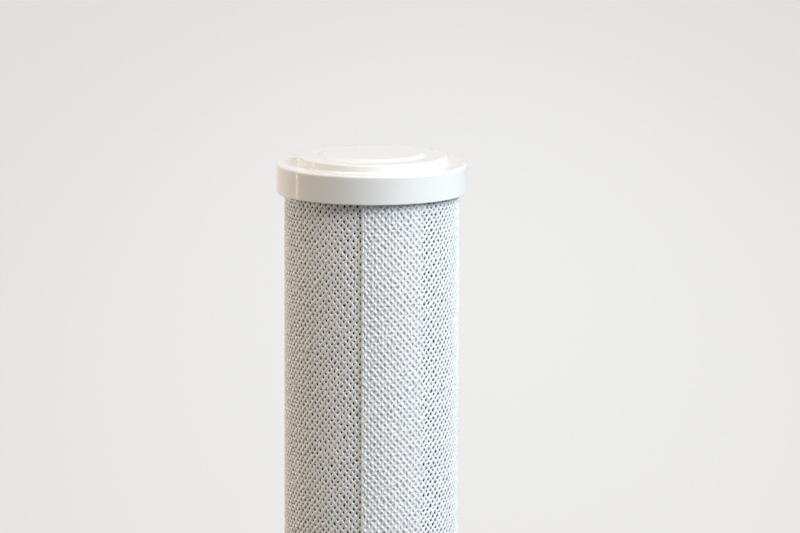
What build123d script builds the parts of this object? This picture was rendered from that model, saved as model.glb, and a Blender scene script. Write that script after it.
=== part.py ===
from build123d import *

import os
from math import cos, pi, radians, sin

# A drop-in carbon block filter cartridge for a kitchen water filter.
#
# Water soaks in from outside, through the net and the carbon block, and leaves by the
# block's bore and the open lower cap. The cartridge stands on its gasket: the origin is the
# centre of the gasket's lower face, +Z runs up the axis to the closed cap, and -Y is the
# front, where the net's overlap shows. All sizes are in millimetres.

# Whole cartridge
overall_length = 250.0

# Carbon block, and the film of hot-melt glue that seals each of its ends
block_diameter = 63.0
glue_film = 0.8

# Net sheet, wrapped once round the block and lapped over its own starting edge. A ridge
# follows each column of the net's knots, and the openings lie in the valleys between them.
sheet_thickness = 0.6
sheet_clearance = 0.05
sheet_end_gap = 1.0
flap_edge_angle = -6.2
lap_length = 22.5
ridge_count = 80
ridge_height = 0.2
ridge_width = 0.8
gap_columns = 10
gap_rows = 12
gap_width = 1.5
gap_height = 3.0
gap_end_margin = 9.0

# End caps, which share their skirt, ledge, raised land and collar
skirt_clearance = 0.25
skirt_wall = 1.8
skirt_height = 10.7
cap_wall = 2.0
rim_chamfer = 0.7
ledge_width = 7.5
land_height = 2.85
land_chamfer = 0.5
collar_wall = 1.8
collar_depth = 6.0
collar_clearance = 0.2

# Closed cap: a low pad with a sloping shoulder in the middle of its land
pad_margin = 7.1
pad_height = 0.9
pad_shoulder = 2.4

# Open cap: the outlet, and the gasket's groove between two lips of the land
outlet_diameter = 28.0
outlet_chamfer = 0.8
gasket_width = 7.0
gasket_side_clearance = 0.1
gasket_thickness = 3.0
gasket_proud = 1.0

# Radii, worked outwards from the block and the outlet
outlet_radius = outlet_diameter / 2
collar_radius = outlet_radius + collar_wall
bore_radius = collar_radius + collar_clearance
block_radius = block_diameter / 2
sheet_radius = block_radius + sheet_clearance
single_radius = sheet_radius + sheet_thickness
lapped_radius = single_radius + sheet_thickness
skirt_radius = lapped_radius + ridge_height + skirt_clearance
cap_radius = skirt_radius + skirt_wall
land_radius = cap_radius - ledge_width
recess_radius = land_radius - cap_wall
pad_foot_radius = land_radius - pad_margin
pad_radius = pad_foot_radius - pad_shoulder
gasket_mean_radius = (outlet_radius + land_radius) / 2
gasket_inner_radius = gasket_mean_radius - gasket_width / 2
gasket_outer_radius = gasket_mean_radius + gasket_width / 2
groove_inner_radius = gasket_inner_radius - gasket_side_clearance
groove_outer_radius = gasket_outer_radius + gasket_side_clearance

# Heights, worked inwards from the two ends
collar_tip = cap_wall + glue_film + collar_depth
gasket_seat_depth = gasket_thickness - gasket_proud
open_flange_z = gasket_proud + land_height
closed_flange_z = overall_length - pad_height - land_height
block_bottom_z = open_flange_z + cap_wall + glue_film
block_top_z = closed_flange_z - cap_wall - glue_film
sheet_bottom_z = block_bottom_z + sheet_end_gap
sheet_top_z = block_top_z - sheet_end_gap

# The net's columns, counted from the flap's free edge towards +X
column_width = 2 * pi * single_radius / ridge_count
column_angle = 360 / ridge_count
lap_columns = round(lap_length / column_width)


def corner(face, radius, height):
    """The vertex of a half section that lies nearest to a radius and a height."""
    return face.vertices().sort_by_distance(Vector(radius, height, 0))[0]


def turned(face):
    """The solid that a half section, drawn as radius and height, sweeps round the axis."""
    return revolve(Plane.XZ * face, Axis.Z)


def ring(inner_radius, outer_radius, bottom_z, top_z):
    """A plain ring about the axis."""
    section = Circle(outer_radius) - Circle(inner_radius)
    return extrude(Pos(0, 0, bottom_z) * section, top_z - bottom_z)


def break_shell_edges(face):
    """Takes the sharpness off the rim and the land, which both caps have."""
    face = chamfer(corner(face, cap_radius, 0), rim_chamfer)
    return chamfer(corner(face, land_radius, land_height), land_chamfer)


def closed_end_cap():
    """The upper cap: one moulding of even wall, stepped up to its land and pad."""
    pad_top = land_height + pad_height
    half = make_face(
        Polyline(
            (0, pad_top),
            (pad_radius, pad_top),
            (pad_foot_radius, land_height),
            (land_radius, land_height),
            (land_radius, 0),
            (cap_radius, 0),
            (cap_radius, -skirt_height),
            (skirt_radius, -skirt_height),
            (skirt_radius, -cap_wall),
            (recess_radius, -cap_wall),
            (recess_radius, land_height - cap_wall),
            (collar_radius, land_height - cap_wall),
            (collar_radius, -collar_tip),
            (outlet_radius, -collar_tip),
            (outlet_radius, pad_top - cap_wall),
            (0, pad_top - cap_wall),
            close=True,
        )
    )
    return Pos(0, 0, closed_flange_z) * turned(break_shell_edges(half))


def open_end_cap():
    """The lower cap: the same shell with a through outlet and a gasket groove in its land."""
    groove_floor = land_height - gasket_seat_depth
    half = make_face(
        Polyline(
            (outlet_radius, land_height - outlet_chamfer),
            (outlet_radius + outlet_chamfer, land_height),
            (groove_inner_radius, land_height),
            (groove_inner_radius, groove_floor),
            (groove_outer_radius, groove_floor),
            (groove_outer_radius, land_height),
            (land_radius, land_height),
            (land_radius, 0),
            (cap_radius, 0),
            (cap_radius, -skirt_height),
            (skirt_radius, -skirt_height),
            (skirt_radius, -cap_wall),
            (collar_radius, -cap_wall),
            (collar_radius, -collar_tip),
            (outlet_radius, -collar_tip),
            close=True,
        )
    )
    return Pos(0, 0, open_flange_z) * Rot(180, 0, 0) * turned(break_shell_edges(half))


def outlet_gasket():
    """The flat rubber ring in the open cap's groove, standing proud of the land."""
    return ring(gasket_inner_radius, gasket_outer_radius, 0, gasket_thickness)


def carbon_block():
    """The extruded block, cut square at both ends, with a bore right through."""
    return ring(bore_radius, block_radius, block_bottom_z, block_top_z)


def open_end_glue():
    """The glue film between the open cap's floor and the block's lower end."""
    return ring(bore_radius, block_radius, block_bottom_z - glue_film, block_bottom_z)


def closed_end_glue():
    """The glue under the closed cap: a film on the block that also fills the land's recess."""
    film_top_z = block_top_z + glue_film
    film = ring(bore_radius, block_radius, block_top_z, film_top_z)
    return film + ring(bore_radius, recess_radius, film_top_z, film_top_z + land_height)


def around(radius, columns):
    """The point at a radius, a number of columns round from the flap's free edge."""
    angle = radians(flap_edge_angle + columns * column_angle)
    return (radius * sin(angle), -radius * cos(angle))


def wrap_outside():
    """The wrap's outline from its end: a ridge on each column, one layer higher on the flap."""
    half_ridge = ridge_width / 2 / column_width
    points = [around(single_radius, 0), around(lapped_radius, 0)]
    for column in range(ridge_count):
        surface = lapped_radius if column < lap_columns else single_radius
        middle = column + 0.5
        points.append(around(surface, middle - half_ridge))
        points.append(around(surface + ridge_height, middle))
        points.append(around(surface, middle + half_ridge))
    return make_face(Polyline(*points, close=True))


def wrap_inside():
    """The hollow of the wrap: a flat for each valley, and the step where the flap climbs."""
    corner_radius = sheet_radius / cos(radians(column_angle / 2))
    start_edge = lap_columns - 0.5
    step = make_face(
        Polyline(
            around(corner_radius, start_edge),
            around(single_radius, start_edge),
            around(corner_radius, start_edge + 1),
            close=True,
        )
    )
    corners = [around(corner_radius, column + 0.5) for column in range(ridge_count)]
    return make_face(Polyline(*corners, close=True)) + step


def gap_cutters():
    """Diamond cutters for the net's openings, in staggered rows along the valleys."""
    diamond = make_face(
        Polyline(
            (gap_width / 2, 0),
            (0, gap_height / 2),
            (-gap_width / 2, 0),
            (0, -gap_height / 2),
            close=True,
        )
    )
    cutter = extrude(Plane.XZ * diamond, skirt_radius)
    valleys_apart = ridge_count // gap_columns
    lowest_z = open_flange_z + skirt_height + gap_end_margin
    highest_z = closed_flange_z - skirt_height - gap_end_margin
    row_spacing = (highest_z - lowest_z) / (gap_rows - 1)
    cutters = []
    for row in range(gap_rows):
        first_valley = valleys_apart // 4 + (row % 2) * (valleys_apart // 2)
        for column in range(gap_columns):
            angle = flap_edge_angle + (first_valley + column * valleys_apart) * column_angle
            cutters.append(Rot(0, 0, angle) * Pos(0, 0, lowest_z + row * row_spacing) * cutter)
    return cutters


def net_wrap():
    """The white net: a lapped sheet with a ridge along each column and diamond openings."""
    section = wrap_outside() - wrap_inside()
    sheet = extrude(Pos(0, 0, sheet_bottom_z) * section, sheet_top_z - sheet_bottom_z)
    return sheet - gap_cutters()


def main():
    os.makedirs("parts", exist_ok=True)
    pieces = (closed_end_cap, open_end_cap, outlet_gasket, carbon_block,
              open_end_glue, closed_end_glue, net_wrap)
    for piece in pieces:
        export_step(piece(), f"parts/{piece.__name__}.step")


main()
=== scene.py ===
# %% [markdown]
# # A carbon block filter cartridge
#
# The object is a drop-in water filter: a thick tube of pressed carbon, a white plastic net
# wrapped round it, and a moulded cap glued on each end. The pieces arrive as a frame of solids
# at their real size. This file gives them the finish that the eye expects. Each step first says
# what the piece is on the real object and how it could be made in Blender.

# %% Load the frame
import math

import bmesh
import bpy
from mathutils import Euler, Matrix, Vector, noise


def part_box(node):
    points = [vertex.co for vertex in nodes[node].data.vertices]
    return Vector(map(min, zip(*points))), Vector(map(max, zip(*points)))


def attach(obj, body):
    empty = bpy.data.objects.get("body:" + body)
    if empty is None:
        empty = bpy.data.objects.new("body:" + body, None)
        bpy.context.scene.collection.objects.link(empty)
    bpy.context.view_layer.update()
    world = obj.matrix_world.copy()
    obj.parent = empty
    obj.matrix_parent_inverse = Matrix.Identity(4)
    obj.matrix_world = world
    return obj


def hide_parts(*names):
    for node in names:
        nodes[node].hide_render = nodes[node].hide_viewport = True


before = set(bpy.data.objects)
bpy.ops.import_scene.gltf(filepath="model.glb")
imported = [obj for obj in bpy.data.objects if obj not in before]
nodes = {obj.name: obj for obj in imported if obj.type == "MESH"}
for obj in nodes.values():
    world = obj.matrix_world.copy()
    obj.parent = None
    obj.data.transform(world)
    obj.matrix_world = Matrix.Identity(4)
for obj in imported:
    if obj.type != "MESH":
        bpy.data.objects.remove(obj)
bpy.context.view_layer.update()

MM = 0.001
print("solids:", sorted(nodes))

# %% [markdown]
# ## The camera
#
# The picture was taken with a long lens: the sides of the cartridge stay almost parallel and the
# cap's ellipses are flat. Two things fix such a camera. The width of the cap in pixels gives the
# distance, and the flatness of its rim gives the angle from which it is seen. The camera could be
# nudged by eye instead, but then its place would be a guess.

# %% Place the camera
image_width = 800
image_height = 533
sensor_width = 36.0
lens_length = 250.0
view_elevation = math.radians(8.1)
camera_roll = math.radians(0.15)
cap_width_pixels = 191.0
rim_centre_pixel = (371.3, 162.7)

closed_low, closed_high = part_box("closed_end_cap")
cap_radius = closed_high.x
pad_height = 0.9 * MM
land_height = 2.85 * MM
rim_height = closed_high.z - pad_height - land_height

focal_pixels = lens_length / sensor_width * image_width
camera_distance = focal_pixels * 2 * cap_radius / cap_width_pixels
pitch = view_elevation + math.atan((image_height / 2 - rim_centre_pixel[1]) / focal_pixels)
yaw = math.atan((image_width / 2 - rim_centre_pixel[0]) / focal_pixels)

camera_data = bpy.data.cameras.new("camera")
camera_data.lens = lens_length
camera_data.sensor_width = sensor_width
camera_data.clip_end = 100.0
camera = bpy.data.objects.new("camera", camera_data)
towards_camera = Vector((0, -math.cos(view_elevation), math.sin(view_elevation)))
camera.location = Vector((0, 0, rim_height)) + camera_distance * towards_camera
level_view = Euler((math.pi / 2 - pitch, 0, -yaw)).to_matrix()
camera.rotation_euler = (level_view @ Matrix.Rotation(camera_roll, 3, "Z")).to_euler()
bpy.context.scene.collection.objects.link(camera)
bpy.context.scene.camera = camera
print("camera distance in mm:", round(camera_distance / MM), "pitch:", round(math.degrees(pitch), 2))

# %% [markdown]
# ## Writing node trees as sums
#
# Materials and Geometry Nodes are both graphs of small nodes. Wiring them one call at a time hides
# the idea behind the bookkeeping, so one small class stands for a socket and lets Python's own
# operators add the Math nodes. Every other kind of node goes through its `node` method, which sets
# the node's options first and its sockets after, because some options change the sockets.

# %% A socket that can be added and multiplied
class Wire:
    """An output socket of a node tree, ready to be used in sums or to feed other nodes."""

    def __init__(self, tree, socket=None):
        self.tree = tree
        self.socket = socket

    def node(self, kind, settings=None, sockets=None, output=0):
        """Adds a node to the tree and returns one of its outputs."""
        made = self.tree.nodes.new(kind)
        for name, value in (settings or {}).items():
            setattr(made, name, value)
        for name, value in (sockets or {}).items():
            if isinstance(value, Wire):
                self.tree.links.new(value.socket, made.inputs[name])
            else:
                made.inputs[name].default_value = value
        return Wire(self.tree, made.outputs[output] if len(made.outputs) else None)

    def other(self, output):
        """Another output of the node that this wire comes from."""
        return Wire(self.tree, self.socket.node.outputs[output])

    def math(self, operation, first, second):
        """Adds a Math node."""
        return self.node("ShaderNodeMath", {"operation": operation}, {0: first, 1: second})

    def __add__(self, value):
        return self.math("ADD", self, value)

    def __radd__(self, value):
        return self.math("ADD", value, self)

    def __sub__(self, value):
        return self.math("SUBTRACT", self, value)

    def __rsub__(self, value):
        return self.math("SUBTRACT", value, self)

    def __mul__(self, value):
        return self.math("MULTIPLY", self, value)

    def __rmul__(self, value):
        return self.math("MULTIPLY", value, self)

    def __truediv__(self, value):
        return self.math("DIVIDE", self, value)

    def __rtruediv__(self, value):
        return self.math("DIVIDE", value, self)


def smooth_step(wire, low, high, at_low, at_high):
    """A value that eases from at_low to at_high as the wire goes from low to high."""
    return wire.node(
        "ShaderNodeMapRange",
        {"interpolation_type": "SMOOTHSTEP"},
        {"Value": wire, "From Min": low, "From Max": high, "To Min": at_low, "To Max": at_high},
    )


print("node sums ready")

# %% [markdown]
# ## A start for every material
#
# Each finish needs the same three beginnings: an empty node tree with a Principled shader, the
# piece's own coordinates, and noise at a stated grain size. Object coordinates are used throughout,
# so a pattern stays where it is when the piece is turned or exported.

# %% Material helpers
def new_material(name, constants):
    """A material with a Principled shader whose constant sockets are set, and a wire to start from."""
    material = bpy.data.materials.new(name)
    material.use_nodes = True
    shader = material.node_tree.nodes["Principled BSDF"]
    for socket, value in constants.items():
        shader.inputs[socket].default_value = value
    return material, shader, Wire(material.node_tree)


def grain(start, size, detail=2.0, roughness=0.5):
    """Noise from 0 to 1 whose lumps are about as large as size, on the piece's own coordinates."""
    place = start.node("ShaderNodeTexCoord", output="Object")
    return start.node(
        "ShaderNodeTexNoise",
        {"noise_dimensions": "3D"},
        {"Vector": place, "Scale": 1 / size, "Detail": detail, "Roughness": roughness},
    )


def blend_colours(start, share, first, second):
    """The first colour where share is 0, and the second where it is 1."""
    return start.node(
        "ShaderNodeMix",
        {"data_type": "RGBA"},
        {0: share, 6: (*first, 1), 7: (*second, 1)},
        output=2,
    )


def feed(material, shader, **wires):
    """Links wires to the shader's sockets, named with underscores for spaces."""
    for name, wire in wires.items():
        material.node_tree.links.new(wire.socket, shader.inputs[name.replace("_", " ")])


def bumps(start, height, depth):
    """A surface normal for bumps as deep as depth."""
    return start.node(
        "ShaderNodeBump",
        sockets={"Height": height, "Distance": depth, "Strength": 1.0},
    )


print("material helpers ready")

# %% [markdown]
# ## Cap plastic
#
# The caps are moulded in white polypropylene. It is smooth enough to show a lamp as a soft streak,
# and light soaks a little way in, which softens the edges of its shadows. A plain white shader would
# look like paint, so the tint drifts slightly, the gloss is uneven and the skin has faint ripples.

# %% Cap plastic
def make_cap_plastic():
    """Smooth, slightly uneven white polypropylene."""
    material, shader, start = new_material(
        "cap_plastic",
        {
            "IOR": 1.49,
            "Subsurface Weight": 0.3,
            "Subsurface Radius": (1.0, 0.8, 0.6),
            "Subsurface Scale": 1.2 * MM,
        },
    )
    warm_white = (0.885, 0.882, 0.872)
    clean_white = (0.912, 0.91, 0.902)
    drift = grain(start, 18 * MM)
    gloss = grain(start, 2.5 * MM, detail=3.0)
    ripple = grain(start, 1.2 * MM)
    feed(
        material,
        shader,
        Base_Color=blend_colours(start, drift, warm_white, clean_white),
        Roughness=0.1 + gloss * 0.06,
        Normal=bumps(start, ripple, 0.002 * MM),
    )
    return material


cap_plastic = make_cap_plastic()
print("made", cap_plastic.name)

# %% [markdown]
# ## Net plastic
#
# The net is a duller, cooler white than the caps, because its strands were drawn through a die and
# not pressed against polished steel. Its shape carries most of the look, so the material only adds
# a slight change of whiteness from place to place, the fine skin that keeps it matte, and a little
# light that soaks through the thin strands.

# %% Net plastic
def make_net_plastic():
    """Matte white plastic that lets a little light through."""
    material, shader, start = new_material(
        "net_plastic",
        {
            "IOR": 1.49,
            "Subsurface Weight": 0.5,
            "Subsurface Radius": (1.0, 0.97, 0.94),
            "Subsurface Scale": 0.4 * MM,
        },
    )
    dull_white = (0.86, 0.868, 0.88)
    cool_white = (0.92, 0.925, 0.935)
    drift = grain(start, 9 * MM, detail=3.0)
    skin = grain(start, 0.25 * MM)
    feed(
        material,
        shader,
        Base_Color=blend_colours(start, drift, dull_white, cool_white),
        Roughness=0.38 + skin * 0.2,
        Normal=bumps(start, skin, 0.015 * MM),
    )
    return material


net_plastic = make_net_plastic()
print("made", net_plastic.name)

# %% [markdown]
# ## Carbon
#
# The block is carbon powder baked with a little binder. It is almost black, dull, and rough like
# fine sandpaper. It shows through every opening of the net, so its grain is sized in tenths of a
# millimetre, with a few greyer specks among the black.

# %% Carbon
def make_carbon():
    """Grainy black carbon with a few grey specks."""
    material, shader, start = new_material("carbon", {"IOR": 1.5})
    soot_black = (0.012, 0.0115, 0.011)
    grey_speck = (0.05, 0.048, 0.045)
    grit = grain(start, 0.45 * MM, detail=4.0, roughness=0.65)
    speck = smooth_step(grain(start, 0.8 * MM), 0.62, 0.75, 0.0, 1.0)
    feed(
        material,
        shader,
        Base_Color=blend_colours(start, speck, soot_black, grey_speck),
        Roughness=0.65 + grit * 0.3,
        Normal=bumps(start, grit, 0.15 * MM),
    )
    return material


carbon = make_carbon()
print("made", carbon.name)

# %% [markdown]
# ## Rubber and glue
#
# Two finishes are mostly hidden. The gasket is black rubber with a dusty, slightly mottled face. The
# glue is a waxy cream hot-melt, which has shrunk a little in cooling and so is not quite flat.

# %% Rubber and glue
def make_gasket_rubber():
    """Black rubber, dusty in places."""
    material, shader, start = new_material("gasket_rubber", {"IOR": 1.5})
    clean_black = (0.022, 0.022, 0.024)
    dusty_black = (0.06, 0.06, 0.062)
    dust = grain(start, 3 * MM, detail=4.0)
    skin = grain(start, 0.3 * MM)
    feed(
        material,
        shader,
        Base_Color=blend_colours(start, dust, clean_black, dusty_black),
        Roughness=0.55 + dust * 0.25,
        Normal=bumps(start, skin, 0.02 * MM),
    )
    return material


def make_hot_melt_glue():
    """Waxy, clouded, cream-coloured glue."""
    material, shader, start = new_material(
        "hot_melt_glue",
        {"IOR": 1.48, "Subsurface Weight": 0.3, "Subsurface Scale": 1.0 * MM},
    )
    dark_cream = (0.80, 0.74, 0.60)
    pale_cream = (0.88, 0.84, 0.73)
    cloud = grain(start, 6 * MM)
    ripple = grain(start, 2 * MM)
    feed(
        material,
        shader,
        Base_Color=blend_colours(start, cloud, dark_cream, pale_cream),
        Roughness=0.35 + cloud * 0.15,
        Normal=bumps(start, ripple, 0.05 * MM),
    )
    return material


gasket_rubber = make_gasket_rubber()
hot_melt_glue = make_hot_melt_glue()
print("made", gasket_rubber.name, "and", hot_melt_glue.name)

# %% [markdown]
# ## Solids that stay
#
# The block and the two films of glue already have the right shape: a plain extruded tube and two
# plain rings. They keep their solids and only change their material.

# %% Dress the solids that stay
def dress(node_name, material):
    """Gives a solid from the frame a new material."""
    slots = nodes[node_name].material_slots
    if len(slots) == 0:
        nodes[node_name].data.materials.append(material)
    for slot in slots:
        slot.material = material


dress("carbon_block", carbon)
dress("open_end_glue", hot_melt_glue)
dress("closed_end_glue", hot_melt_glue)
print("dressed the block and the glue")

# %% [markdown]
# ## Turning a profile
#
# Both caps and the gasket are round, so each is one outline spun about the axis, as on a lathe. The
# solids have crisp edges, while a moulded cap has soft ones that catch the light as thin lines. So the
# outline is drawn again with a radius at each corner. A support point on each side of a round keeps
# the flats flat under smooth shading. `bmesh.ops.spin` turns the outline, the doubles at the seam and
# the pole are merged, and the normals are recalculated because a spin can leave them inside out.

# %% A lathe for rounded outlines
arc_steps = 8
turn_steps = 224
support_distance = 0.12
weld_distance = 0.0005 * MM


def rounded_corner(before, point, after, radius):
    """Points of the round that joins two straight sides of an outline, with its two supports."""
    to_before = (before - point).normalized()
    to_after = (after - point).normalized()
    half_turn = to_before.angle(to_after) / 2
    reach = radius / math.tan(half_turn)
    centre = point + (to_before + to_after).normalized() * (radius / math.sin(half_turn))
    first = point + to_before * reach - centre
    last = point + to_after * reach - centre
    sweep = math.pi - 2 * half_turn
    points = [point + to_before * (reach + support_distance)]
    for step in range(arc_steps + 1):
        share = step / arc_steps
        weight_first = math.sin((1 - share) * sweep) / math.sin(sweep)
        weight_last = math.sin(share * sweep) / math.sin(sweep)
        points.append(centre + first * weight_first + last * weight_last)
    points.append(point + to_after * (reach + support_distance))
    return points


def rounded_outline(corners, closed):
    """Rounds each corner of an outline given as (radius, height, corner round) in millimetres."""
    places = [Vector((radius, 0, height)) for radius, height, _ in corners]
    points = []
    for index, (_, _, corner_round) in enumerate(corners):
        is_end = not closed and index in (0, len(corners) - 1)
        if is_end or corner_round == 0:
            points.append(places[index])
        else:
            after = places[(index + 1) % len(places)]
            points += rounded_corner(places[index - 1], places[index], after, corner_round)
    return [point * MM for point in points]


def turned(name, corners, closed, material):
    """A piece made by spinning an outline once about the upright axis."""
    shape = bmesh.new()
    points = [shape.verts.new(point) for point in rounded_outline(corners, closed)]
    pairs = list(zip(points, points[1:]))
    if closed:
        pairs.append((points[-1], points[0]))
    edges = [shape.edges.new(pair) for pair in pairs]
    bmesh.ops.spin(
        shape,
        geom=points + edges,
        cent=(0, 0, 0),
        axis=(0, 0, 1),
        angle=2 * math.pi,
        steps=turn_steps,
    )
    bmesh.ops.remove_doubles(shape, verts=shape.verts, dist=weld_distance)
    bmesh.ops.recalc_face_normals(shape, faces=shape.faces)
    for face in shape.faces:
        face.smooth = True
    mesh = bpy.data.meshes.new(name)
    shape.to_mesh(mesh)
    shape.free()
    mesh.materials.append(material)
    piece = bpy.data.objects.new(name, mesh)
    bpy.context.scene.collection.objects.link(piece)
    return piece


print("lathe ready:", turn_steps, "steps a turn")

# %% [markdown]
# ## The closed cap
#
# The upper cap is one moulding: a skirt that hides the net's end, a flat ledge, a raised land, and a
# low pad with sloping sides in the middle. Inside it has the recess under the land and the collar
# that centres it in the block's bore. The sizes repeat the solid's, with a round for each edge.

# %% Turn the closed cap
cap_wall = 2.0
skirt_height = 10.7
skirt_inner_radius = 33.2
ledge_width = 7.5
collar_radius = 15.8
outlet_radius = 14.0
collar_tip = 8.8
pad_margin = 7.1
pad_shoulder = 2.4

rim_round = 0.9
land_round = 0.7
land_foot_round = 0.4
pad_round = 1.6
mouth_round = 0.4
inner_round = 0.5

cap_radius_mm = cap_radius / MM
land_mm = land_height / MM
pad_top = land_mm + pad_height / MM
land_radius = cap_radius_mm - ledge_width
pad_foot_radius = land_radius - pad_margin


def shell_corners():
    """The corners that both caps share, from the land's foot to the mouth of the skirt."""
    return [
        (land_radius, land_mm, land_round),
        (land_radius, 0, land_foot_round),
        (cap_radius_mm, 0, rim_round),
        (cap_radius_mm, -skirt_height, mouth_round),
        (skirt_inner_radius, -skirt_height, mouth_round),
        (skirt_inner_radius, -cap_wall, inner_round),
    ]


def set_height(corners, flange_height, upwards):
    """Stands an outline, drawn from a flange at height 0, upright or upside down at its height."""
    sign = 1 if upwards else -1
    return [
        (radius, flange_height + sign * height, corner_round)
        for radius, height, corner_round in corners
    ]


closed_outline = [
    (0, pad_top, 0),
    (pad_foot_radius - pad_shoulder, pad_top, pad_round),
    (pad_foot_radius, land_mm, pad_round),
    *shell_corners(),
    (land_radius - cap_wall, -cap_wall, inner_round),
    (land_radius - cap_wall, land_mm - cap_wall, inner_round),
    (collar_radius, land_mm - cap_wall, inner_round),
    (collar_radius, -collar_tip, mouth_round),
    (outlet_radius, -collar_tip, mouth_round),
    (outlet_radius, pad_top - cap_wall, inner_round),
    (0, pad_top - cap_wall, 0),
]
closed_cap = turned(
    "closed_cap",
    set_height(closed_outline, rim_height / MM, upwards=True),
    closed=False,
    material=cap_plastic,
)
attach(closed_cap, "root")
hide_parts("closed_end_cap")
print("closed cap faces:", len(closed_cap.data.polygons))

# %% [markdown]
# ## The open cap and its gasket
#
# The lower cap has the same shell upside down, with the outlet through its middle and a groove in its
# land. The flat rubber gasket lies in the groove and stands a millimetre proud, so that it meets the
# housing first.

# %% Turn the open cap and the gasket
gasket_width = 7.0
gasket_side_clearance = 0.1
gasket_thickness = 3.0
gasket_proud = 1.0
gasket_round = 0.35
outlet_round = 0.8
groove_round = 0.3

gasket_middle_radius = (outlet_radius + land_radius) / 2
gasket_inner_radius = gasket_middle_radius - gasket_width / 2
gasket_outer_radius = gasket_middle_radius + gasket_width / 2
groove_floor = land_mm - (gasket_thickness - gasket_proud)

open_outline = [
    (outlet_radius, land_mm, outlet_round),
    (gasket_inner_radius - gasket_side_clearance, land_mm, groove_round),
    (gasket_inner_radius - gasket_side_clearance, groove_floor, 0),
    (gasket_outer_radius + gasket_side_clearance, groove_floor, 0),
    (gasket_outer_radius + gasket_side_clearance, land_mm, groove_round),
    *shell_corners(),
    (collar_radius, -cap_wall, inner_round),
    (collar_radius, -collar_tip, mouth_round),
    (outlet_radius, -collar_tip, mouth_round),
]
open_cap = turned(
    "open_cap",
    set_height(open_outline, gasket_proud + land_mm, upwards=False),
    closed=True,
    material=cap_plastic,
)
gasket = turned(
    "gasket",
    [
        (gasket_inner_radius, 0, gasket_round),
        (gasket_outer_radius, 0, gasket_round),
        (gasket_outer_radius, gasket_thickness, gasket_round),
        (gasket_inner_radius, gasket_thickness, gasket_round),
    ],
    closed=True,
    material=gasket_rubber,
)
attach(open_cap, "root")
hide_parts("open_end_cap")
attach(gasket, "root")
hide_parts("outlet_gasket")
print("open cap faces:", len(open_cap.data.polygons), "gasket faces:", len(gasket.data.polygons))

# %% [markdown]
# ## One stitch of the net
#
# The net is two families of slanting strands, fused where they cross into knots that stand proud. The
# strands that rise to the right lie over the others, as in a net that is drawn through two turning
# dies, so the strands that fall to the right drop more steeply beside each knot. Modelling whole
# strands would mean long curves that meet thousands of times. Modelling one crossing, with half a
# strand in each direction, gives a tile that repeats exactly: the cut ends of a tile match the cut ends
# of the next. A tile with two crossings, one at the lower left and one at the upper right, repeats on a
# plain grid.

# %% Model the repeating tile
net_columns = 92
net_rows = 83
panel_count = 4
net_clearance = 0.05 * MM
net_thickness = 0.66 * MM
layer_step = 0.44 * MM
edge_lift = 0.12 * MM
lap_columns = 9.5
climb_length = 2.6 * MM
flap_angle = math.radians(-6.2)

block_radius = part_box("carbon_block")[1].x
net_low, net_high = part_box("net_wrap")
net_inner_radius = block_radius + net_clearance
net_middle_radius = net_inner_radius + net_thickness / 2
column_pitch = 2 * math.pi * net_middle_radius / (net_columns - lap_columns)
lap_length = lap_columns * column_pitch
row_pitch = (net_high.z - net_low.z) / net_rows

# Heights are above the sheet's inner face. The knot's web widens each crossing sideways.
strand_half_width = 0.575 * MM
strand_foot_share = 0.7
strand_side_height = 0.28 * MM
rising_height = 0.46 * MM
falling_height = 0.44 * MM
dip_height = 0.52 * MM
dip_share = 0.42
knot_web = 1.12


def add_crossing(shape, centre_x, centre_y):
    """Adds one crossing of two strands, with its four half strands, to a flat tile."""
    slant = math.atan2(column_pitch, row_pitch)
    notch_y = strand_half_width / math.sin(slant)
    notch_x = strand_half_width / math.cos(slant) * knot_web

    def vertex(x, y, height):
        return shape.verts.new((centre_x + x, centre_y + y, height))

    notches = [(0, notch_y), (notch_x, 0), (0, -notch_y), (-notch_x, 0)]
    sides = [vertex(x, y, strand_side_height) for x, y in notches]
    feet = [vertex(x * strand_foot_share, y * strand_foot_share, 0) for x, y in notches]
    crown = vertex(0, 0, net_thickness)
    for index, (sign_x, sign_y) in enumerate(((1, 1), (1, -1), (-1, -1), (-1, 1))):
        rises = sign_x == sign_y
        height = rising_height if rises else falling_height
        end = Vector((sign_x * column_pitch / 4, sign_y * row_pitch / 4))
        left = Vector((-end.y, end.x)).normalized() * strand_half_width
        foot = left * strand_foot_share
        end_top = vertex(end.x, end.y, height)
        end_left = vertex(end.x + left.x, end.y + left.y, strand_side_height)
        end_right = vertex(end.x - left.x, end.y - left.y, strand_side_height)
        end_left_foot = vertex(end.x + foot.x, end.y + foot.y, 0)
        end_right_foot = vertex(end.x - foot.x, end.y - foot.y, 0)
        following = (index + 1) % 4
        left_side, right_side = sides[index], sides[following]
        left_foot, right_foot = feet[index], feet[following]
        if rises:
            root = crown
        else:
            root = vertex(end.x * dip_share, end.y * dip_share, dip_height)
            shape.faces.new((crown, root, left_side))
            shape.faces.new((crown, right_side, root))
        shape.faces.new((root, end_top, end_left, left_side))
        shape.faces.new((root, right_side, end_right, end_top))
        shape.faces.new((left_side, end_left, end_left_foot, left_foot))
        shape.faces.new((end_right, right_side, right_foot, end_right_foot))
        shape.faces.new((left_foot, end_left_foot, end_right_foot, right_foot))
    shape.faces.new(feet)


def make_tile():
    """The repeating tile of the net, as an object for Geometry Nodes to copy."""
    shape = bmesh.new()
    add_crossing(shape, column_pitch / 4, row_pitch / 4)
    add_crossing(shape, column_pitch * 3 / 4, row_pitch * 3 / 4)
    mesh = bpy.data.meshes.new("net_tile")
    shape.to_mesh(mesh)
    shape.free()
    return bpy.data.objects.new("net_tile", mesh)


net_tile = make_tile()
print("tile faces:", len(net_tile.data.polygons), "pitch in mm:",
      round(column_pitch / MM, 3), "by", round(row_pitch / MM, 3))

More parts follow.
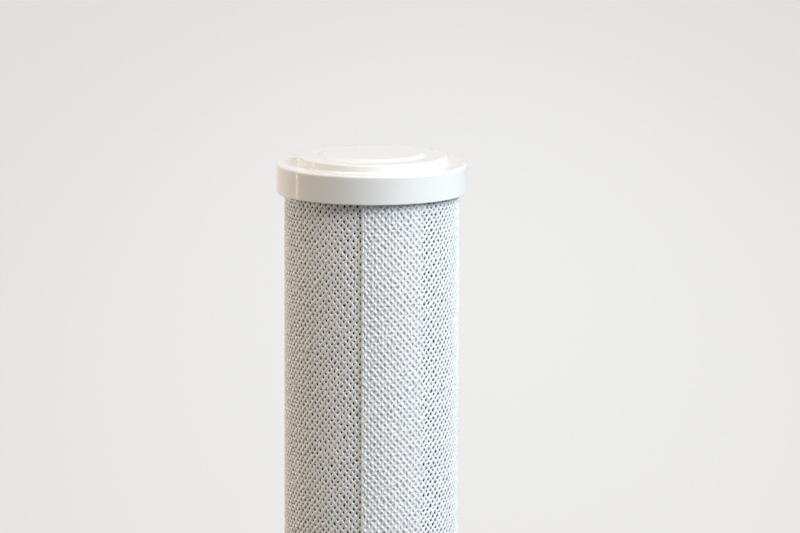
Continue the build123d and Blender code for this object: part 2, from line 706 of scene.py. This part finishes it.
# %% [markdown]
# ## Wrapping the net
#
# On the factory bench the net is a flat sheet that is rolled once round the block and lapped over its
# own beginning. Geometry Nodes do the same. A grid of points receives the tiles, the touching ends are
# merged into one skin, and Set Position rolls the flat sheet up: the distance along the sheet becomes
# an angle, and its thickness becomes a radius. Near its free edge the sheet lies a step higher, because
# it rests on the layer below. The lap is nine and a half columns long, so the knots of the lower layer
# lie under the openings of the flap and settle into them, and the step is less than the net is thick.
# Two noises with a fixed seed make the sheet uneven, as a real net is: a broad one lets the rows
# wander, and a fine one pinches some openings and widens others. The flat coordinates are kept as a map
# for baking.

# %% Build the wrapping tree
net_sizes = {
    "Columns": ("NodeSocketInt", net_columns // panel_count),
    "Rows": ("NodeSocketInt", net_rows),
    "First column": ("NodeSocketInt", 0),
    "Column pitch": ("NodeSocketFloat", column_pitch),
    "Row pitch": ("NodeSocketFloat", row_pitch),
    "Bottom": ("NodeSocketFloat", net_low.z),
    "Inner radius": ("NodeSocketFloat", net_inner_radius),
    "Middle radius": ("NodeSocketFloat", net_middle_radius),
    "Flap angle": ("NodeSocketFloat", flap_angle),
    "Lap length": ("NodeSocketFloat", lap_length),
    "Climb length": ("NodeSocketFloat", climb_length),
    "Layer step": ("NodeSocketFloat", layer_step),
    "Edge lift": ("NodeSocketFloat", edge_lift),
    "Edge width": ("NodeSocketFloat", 3.0 * MM),
    "Wander": ("NodeSocketFloat", 0.3 * MM),
    "Wander size": ("NodeSocketFloat", 9.0 * MM),
    "Pinch": ("NodeSocketFloat", 1.1 * MM),
    "Pinch size": ("NodeSocketFloat", 1.8 * MM),
    "Seed": ("NodeSocketFloat", 4.0),
    "Tile": ("NodeSocketObject", net_tile),
    "Material": ("NodeSocketMaterial", net_plastic),
}
merge_distance = 0.02 * MM


def make_net_tree():
    """The Geometry Nodes tree that tiles a flat panel of net and rolls it up."""
    tree = bpy.data.node_groups.new("net_wrap", "GeometryNodeTree")
    tree.is_modifier = True
    tree.interface.new_socket("Geometry", in_out="OUTPUT", socket_type="NodeSocketGeometry")
    for name, (kind, _) in net_sizes.items():
        tree.interface.new_socket(name, in_out="INPUT", socket_type=kind)
    start = Wire(tree)
    size = start.node("NodeGroupInput").other

    grid = start.node(
        "GeometryNodeMeshGrid",
        sockets={
            "Size X": (size("Columns") - 1) * size("Column pitch"),
            "Size Y": (size("Rows") - 1) * size("Row pitch"),
            "Vertices X": size("Columns"),
            "Vertices Y": size("Rows"),
        },
    )
    tile = start.node("GeometryNodeObjectInfo", sockets={"Object": size("Tile")}, output="Geometry")
    tiles = start.node("GeometryNodeInstanceOnPoints", sockets={"Points": grid, "Instance": tile})
    flat = start.node("GeometryNodeRealizeInstances", sockets={"Geometry": tiles})
    skin = start.node(
        "GeometryNodeMergeByDistance",
        sockets={"Geometry": flat, "Distance": merge_distance},
    )

    place = start.node("GeometryNodeInputPosition")
    split = start.node("ShaderNodeSeparateXYZ", sockets={"Vector": place})
    from_left = split + (size("Columns") - 1) * size("Column pitch") / 2
    along = from_left + size("First column") * size("Column pitch")
    up = split.other("Y") + (size("Rows") - 1) * size("Row pitch") / 2
    thick = split.other("Z")

    spot = start.node("ShaderNodeCombineXYZ", sockets={"X": along, "Y": up, "Z": size("Seed")})

    def uneven(amount, lump_size):
        """Two shifts, along and up the sheet, that change over lumps of a given size."""
        lumps = start.node(
            "ShaderNodeTexNoise",
            {"noise_dimensions": "3D"},
            {"Vector": spot, "Scale": 1 / lump_size, "Detail": 0.0},
            output="Color",
        )
        parts = start.node("ShaderNodeSeparateXYZ", sockets={"Vector": lumps})
        return (parts - 0.5) * amount, (parts.other("Y") - 0.5) * amount

    wander_along, wander_up = uneven(size("Wander"), size("Wander size"))
    pinch_along, pinch_up = uneven(size("Pinch"), size("Pinch size"))
    along_shifted = along + wander_along + pinch_along
    up_shifted = up + wander_up + pinch_up

    lap_end = size("Lap length") + size("Climb length")
    layer = smooth_step(along, size("Lap length"), lap_end, size("Layer step"), 0.0)
    curl = smooth_step(along, 0.0, size("Edge width"), size("Edge lift"), 0.0)
    radius = size("Inner radius") + thick + layer + curl
    angle = size("Flap angle") + along_shifted / size("Middle radius")
    sine = start.node("ShaderNodeMath", {"operation": "SINE"}, {0: angle})
    cosine = start.node("ShaderNodeMath", {"operation": "COSINE"}, {0: angle})
    rolled = start.node(
        "ShaderNodeCombineXYZ",
        sockets={"X": radius * sine, "Y": -1 * radius * cosine, "Z": up_shifted + size("Bottom")},
    )

    panel_width = size("Columns") * size("Column pitch")
    panel_height = size("Rows") * size("Row pitch")
    map_place = start.node(
        "ShaderNodeCombineXYZ",
        sockets={"X": from_left / panel_width, "Y": up / panel_height},
    )
    mapped = start.node(
        "GeometryNodeStoreNamedAttribute",
        {"data_type": "FLOAT2", "domain": "CORNER"},
        {"Geometry": skin, "Name": "OFBake", "Value": map_place},
    )
    wrapped = start.node("GeometryNodeSetPosition", sockets={"Geometry": mapped, "Position": rolled})
    smooth = start.node("GeometryNodeSetShadeSmooth", sockets={"Geometry": wrapped})
    realized = start.node("GeometryNodeRealizeInstances", sockets={"Geometry": smooth})
    finished = start.node(
        "GeometryNodeSetMaterial",
        sockets={"Geometry": realized, "Material": size("Material")},
    )
    start.node("NodeGroupOutput", sockets={"Geometry": finished})
    return tree


net_tree = make_net_tree()
print("net tree nodes:", len(net_tree.nodes))

# %% [markdown]
# ## Four panels of net
#
# The whole net has some fifteen thousand crossings. It is made as four panels side by side, so that no
# single mesh grows too large. They share one tree and differ only in their first column, and since
# their ends match exactly, no join shows. The strands that a panel's border cuts are closed with small
# end faces, each of which takes its place on the map from the strand it closes.

# %% Make the panels
panel_names = ("net_flap", "net_right", "net_back", "net_left")


def set_inputs(modifier, tree, values):
    """Sets a Geometry Nodes modifier's inputs by their sockets' identifiers."""
    for item in tree.interface.items_tree:
        if item.in_out == "INPUT":
            modifier[item.identifier] = values[item.name]


def close_cut_strands(mesh):
    """Closes the open ends of the strands at a panel's borders."""
    shape = bmesh.new()
    shape.from_mesh(mesh)
    flat_map = shape.loops.layers.uv["OFBake"]
    open_edges = [edge for edge in shape.edges if edge.is_boundary]
    ends = bmesh.ops.holes_fill(shape, edges=open_edges, sides=0)["faces"]
    for face in ends:
        for loop in face.loops:
            neighbour = next(other for other in loop.vert.link_loops if other.face not in ends)
            loop[flat_map].uv = neighbour[flat_map].uv
    bmesh.ops.recalc_face_normals(shape, faces=ends)
    shape.to_mesh(mesh)
    shape.free()
    return len(ends)


def make_panel(name, number):
    """One panel of the wrapped net, as a plain mesh."""
    maker = bpy.data.objects.new(name + "_maker", bpy.data.meshes.new(name + "_maker"))
    bpy.context.scene.collection.objects.link(maker)
    modifier = maker.modifiers.new("wrap", "NODES")
    modifier.node_group = net_tree
    values = {label: value for label, (_, value) in net_sizes.items()}
    values["First column"] = number * net_columns // panel_count
    set_inputs(modifier, net_tree, values)
    shown = maker.evaluated_get(bpy.context.evaluated_depsgraph_get())
    mesh = bpy.data.meshes.new_from_object(shown)
    bpy.data.objects.remove(maker)
    mesh.name = name
    ends = close_cut_strands(mesh)
    panel = bpy.data.objects.new(name, mesh)
    bpy.context.scene.collection.objects.link(panel)
    mesh.calc_loop_triangles()
    print(name, "triangles:", len(mesh.loop_triangles), "closed ends:", ends)
    return panel


for number, name in enumerate(panel_names):
    panel = make_panel(name, number)
    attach(panel, "root")
    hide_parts("net_wrap")
bpy.data.objects.remove(net_tile)

# %% [markdown]
# ## The flap's edge
#
# A plastic net is cut to length with a hot blade, which melts the ends of the strands together. The
# free edge of the flap is therefore a thin, fairly straight band, and not a row of loose ends. It is
# drawn as a small section, given as distances along the sheet and above it, that runs up the whole
# length of the net. A smooth noise lets its sides and its height waver, as melted plastic does.

# %% Make the fused edge
edge_section = ((-0.3, 0.0), (-0.3, 0.34), (-0.15, 0.44), (0.45, 0.46), (0.6, 0.34), (0.6, 0.0))
edge_steps = 4 * net_rows
edge_waver = 0.1 * MM
waver_length = 2.4 * MM
swell_share = 0.25
swell_length = 1.7 * MM
swell_seed = 5.0


def make_fused_edge():
    """The band along the flap's free edge, as a closed plain mesh."""
    shape = bmesh.new()
    rings = []
    for step in range(edge_steps + 1):
        z = net_low.z + (net_high.z - net_low.z) * step / edge_steps
        shift = noise.noise((z / waver_length, 0.0, 0.0)) * edge_waver
        swell = 1 + swell_share * noise.noise((z / swell_length, swell_seed, 0.0))
        ring = []
        for along, height in edge_section:
            angle = flap_angle + (along * MM + shift) / net_middle_radius
            radius = net_inner_radius + layer_step + edge_lift + height * MM * swell
            ring.append(shape.verts.new((radius * math.sin(angle), -radius * math.cos(angle), z)))
        rings.append(ring)
    count = len(edge_section)
    for low, high in zip(rings, rings[1:]):
        for index in range(count):
            after = (index + 1) % count
            shape.faces.new((low[index], low[after], high[after], high[index]))
    shape.faces.new(rings[0])
    shape.faces.new(rings[-1])
    bmesh.ops.recalc_face_normals(shape, faces=shape.faces)
    for face in shape.faces:
        face.smooth = len(face.verts) == 4
    mesh = bpy.data.meshes.new("net_edge")
    shape.to_mesh(mesh)
    shape.free()
    mesh.materials.append(net_plastic)
    edge = bpy.data.objects.new("net_edge", mesh)
    bpy.context.scene.collection.objects.link(edge)
    return edge


net_edge = make_fused_edge()
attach(net_edge, "root")
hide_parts("net_wrap")
print("edge faces:", len(net_edge.data.polygons))

# %% [markdown]
# ## Floor and background
#
# The picture's background is a pale grey-white, a little brighter in the middle. A wide round floor
# gives it, with the colour of the world beyond at its rim, so that no horizon shows from any side. The
# brighter middle is painted light: a paler pool in the floor's own colour, behind the object. Far from
# the object the camera sees the floor's own colour, which stays even apart from that painted pool. Near
# the object half of what it sees is lit, so the object has a shadow to stand on. Light that bounces off
# the floor meets a darker colour, because a white floor would fill the shadow under the cap from below.

# %% Floor and world
floor_radius = 12.0
floor_sides = 96
background_colour = (0.76, 0.745, 0.73)
# Painted light: the pool's colour is a paler patch of floor behind the object that stands in for a pool
# of light.
painted_pool_colour = (0.86, 0.857, 0.85)
bounce_colour = (0.2, 0.195, 0.19)
pool_centre = (0.06, 1.2, 0.0)
pool_size = (0.36, 1.9, 1.0)
pool_fade = 1.2
shadow_radius = 0.2
even_radius = 0.55
near_own_share = 0.5
fill_colour = (1.0, 0.93, 0.85)
fill_strength = 0.03


def sees_background(start):
    """1 for rays that show the background itself: from the camera, or mirrored, or through glass."""
    path = start.node("ShaderNodeLightPath", output="Is Camera Ray")
    return path + path.other("Is Glossy Ray") + path.other("Is Transmission Ray")


def vector_math(wire, operation, second, output="Vector"):
    """Adds a Vector Math node after a wire."""
    return wire.node(
        "ShaderNodeVectorMath",
        {"operation": operation},
        {0: wire, 1: second},
        output=output,
    )


def make_floor_material():
    """A floor that is seen in its own colour, with a painted pool of light behind the object, and is lit
    and shaded near the object.
    """
    material = bpy.data.materials.new("floor")
    material.use_nodes = True
    material.node_tree.nodes.clear()
    start = Wire(material.node_tree)
    place = start.node("ShaderNodeTexCoord", output="Object")
    from_pool = vector_math(vector_math(place, "SUBTRACT", pool_centre), "DIVIDE", pool_size)
    pool_distance = vector_math(from_pool, "LENGTH", (0, 0, 0), "Value")
    # Painted light: the floor's colour turns paler inside an oval pool behind the object.
    outside_painted_pool = smooth_step(pool_distance, 0.0, pool_fade, 0.0, 1.0)
    colour = blend_colours(start, outside_painted_pool, painted_pool_colour, background_colour)
    seen = sees_background(start)
    lit_colour = start.node(
        "ShaderNodeMix",
        {"data_type": "RGBA"},
        {0: seen, 6: (*bounce_colour, 1), 7: colour},
        output=2,
    )
    lit = start.node("ShaderNodeBsdfDiffuse", sockets={"Color": lit_colour})
    own = start.node("ShaderNodeEmission", sockets={"Color": colour, "Strength": 1.0})
    distance = vector_math(place, "LENGTH", (0, 0, 0), "Value")
    own_share = seen * smooth_step(distance, shadow_radius, even_radius, near_own_share, 1.0)
    both = start.node("ShaderNodeMixShader", sockets={0: own_share, 1: lit, 2: own})
    start.node("ShaderNodeOutputMaterial", sockets={"Surface": both})
    return material


def make_floor():
    """A wide flat disc under the object."""
    shape = bmesh.new()
    bmesh.ops.create_circle(shape, cap_ends=True, radius=floor_radius, segments=floor_sides)
    mesh = bpy.data.meshes.new("floor")
    shape.to_mesh(mesh)
    shape.free()
    mesh.materials.append(make_floor_material())
    floor = bpy.data.objects.new("floor", mesh)
    bpy.context.scene.collection.objects.link(floor)
    return floor


def make_world():
    """A world that is seen in the background's colour and sheds only a faint light."""
    world = bpy.data.worlds.new("studio")
    world.use_nodes = True
    tree = world.node_tree
    tree.nodes.clear()
    start = Wire(tree)
    seen = start.node(
        "ShaderNodeBackground",
        sockets={"Color": (*background_colour, 1), "Strength": 1.0},
    )
    fill = start.node(
        "ShaderNodeBackground",
        sockets={"Color": (*fill_colour, 1), "Strength": fill_strength},
    )
    both = start.node("ShaderNodeMixShader", sockets={0: sees_background(start), 1: fill, 2: seen})
    start.node("ShaderNodeOutputWorld", sockets={"Surface": both})
    bpy.context.scene.world = world


make_floor()
make_world()
print("floor radius in m:", floor_radius)

# %% [markdown]
# ## Light
#
# The picture has one large soft light at the right, cool and strong, a warm ceiling, and a dim warm
# room at the left. A narrow bright strip at the far left draws the upright streak on the cap's side,
# and a cool lamp behind keeps the back and the left side white when the object is turned. Five area
# lamps do this. They are placed round a point a little below the cap, by compass angle from the front,
# height angle and distance, so that their shares can be changed one at a time. The two walls of the room
# are not mirrored by the glossy cap, because they would cover the strip's streak.

# %% Lamps
target_drop = 40 * MM
lamp_target = Vector((0, 0, rim_height - target_drop))
room_distance = 1.6
strip_distance = 0.6


def add_lamp(name, azimuth, elevation, distance, width, height, watts, colour, mirrored=True):
    """An area lamp that faces the cartridge. Azimuth 0 is the front and 90 the right."""
    data = bpy.data.lights.new(name, "AREA")
    data.shape = "RECTANGLE"
    data.size = width
    data.size_y = height
    data.energy = watts
    data.color = colour
    lamp = bpy.data.objects.new(name, data)
    across = math.radians(azimuth)
    above = math.radians(elevation)
    direction = Vector(
        (
            math.sin(across) * math.cos(above),
            -math.cos(across) * math.cos(above),
            math.sin(above),
        )
    )
    lamp.location = lamp_target + direction * distance
    lamp.rotation_euler = direction.to_track_quat("Z", "Y").to_euler()
    lamp.visible_camera = False
    lamp.visible_glossy = mirrored
    bpy.context.scene.collection.objects.link(lamp)
    print(name, "at", [round(x, 2) for x in lamp.location])


add_lamp(
    "window",
    azimuth=60,
    elevation=33,
    distance=room_distance,
    width=1.3,
    height=0.9,
    watts=33,
    colour=(0.84, 0.92, 1.0),
)
add_lamp(
    "ceiling",
    azimuth=0,
    elevation=66,
    distance=room_distance,
    width=1.4,
    height=0.8,
    watts=11.4,
    colour=(1.0, 0.88, 0.72),
)
add_lamp(
    "far_wall",
    azimuth=-106,
    elevation=12,
    distance=room_distance,
    width=1.8,
    height=0.8,
    watts=16,
    colour=(1.0, 0.82, 0.6),
    mirrored=False,
)
add_lamp(
    "back_wall",
    azimuth=-152,
    elevation=8,
    distance=room_distance,
    width=1.4,
    height=0.6,
    watts=12,
    colour=(0.9, 0.95, 1.0),
    mirrored=False,
)
add_lamp(
    "left_strip",
    azimuth=-100,
    elevation=8,
    distance=strip_distance,
    width=0.02,
    height=0.7,
    watts=0.3,
    colour=(1.0, 0.98, 0.95),
)

# %% [markdown]
# ## View settings
#
# The Standard view shows colours as they are written.

# %% Finish
bpy.context.scene.view_settings.view_transform = "Standard"
